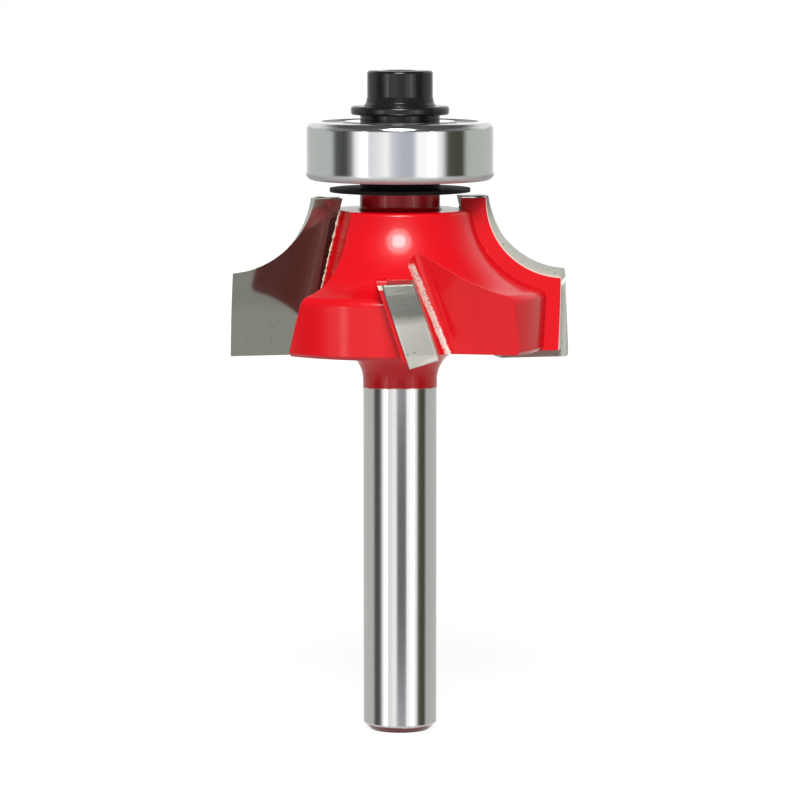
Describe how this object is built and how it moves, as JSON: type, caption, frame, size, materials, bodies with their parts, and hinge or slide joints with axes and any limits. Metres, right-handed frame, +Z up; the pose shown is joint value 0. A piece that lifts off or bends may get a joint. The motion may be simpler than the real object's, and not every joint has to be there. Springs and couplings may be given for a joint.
{
  "type": "roundover router bit",
  "caption": "Roundover router bit with up-shear and down-shear brazed cutters, a quarter-inch shank and a ball bearing pilot held by a cap screw.",
  "frame": {"origin": "centre of the shank's end face, which is the lowest point", "axes": "+Z up the axis from the shank to the pilot screw; +X through the long cutter on the right of the picture, -Y towards the camera"},
  "size_m": [0.0288, 0.0288, 0.0566],
  "materials": {
    "red_paint": "gloss",
    "carbide": "ground",
    "black_oxide": "satin",
    "bearing_steel": "polished",
    "shield_steel": "satin",
    "cage_brass": "satin"
  },
  "bodies": {
    "cutter": {"cutter_body": "red_paint", "long_cutter_left": "carbide", "long_cutter_right": "carbide", "short_cutter_front": "carbide", "short_cutter_rear": "carbide", "dust_shield": "black_oxide", "bearing_inner_ring": "bearing_steel", "spacer_ring": "black_oxide", "clamp_washer": "black_oxide", "pilot_screw": "black_oxide"},
    "bearing_outer": {"bearing_outer_ring": "bearing_steel", "bearing_shield_lower": "shield_steel", "bearing_shield_upper": "shield_steel"},
    "bearing_balls": {"bearing_cage": "cage_brass", "bearing_ball_1": "bearing_steel", "bearing_ball_2": "bearing_steel", "bearing_ball_3": "bearing_steel", "bearing_ball_4": "bearing_steel", "bearing_ball_5": "bearing_steel", "bearing_ball_6": "bearing_steel", "bearing_ball_7": "bearing_steel", "bearing_ball_8": "bearing_steel"}
  },
  "joints": [
    {"name": "bearing_spin", "type": "hinge", "parent": "cutter", "child": "bearing_outer", "pos_m": [0, 0, 0.05], "axis": [0, 0, 1], "continuous": true},
    {"name": "cage_spin", "type": "hinge", "parent": "cutter", "child": "bearing_balls", "pos_m": [0, 0, 0.05], "axis": [0, 0, 1], "continuous": true}
  ],
  "couplings": [
    {"joint": "cage_spin", "follows": "bearing_spin", "ratio": 0.607}
  ]
}
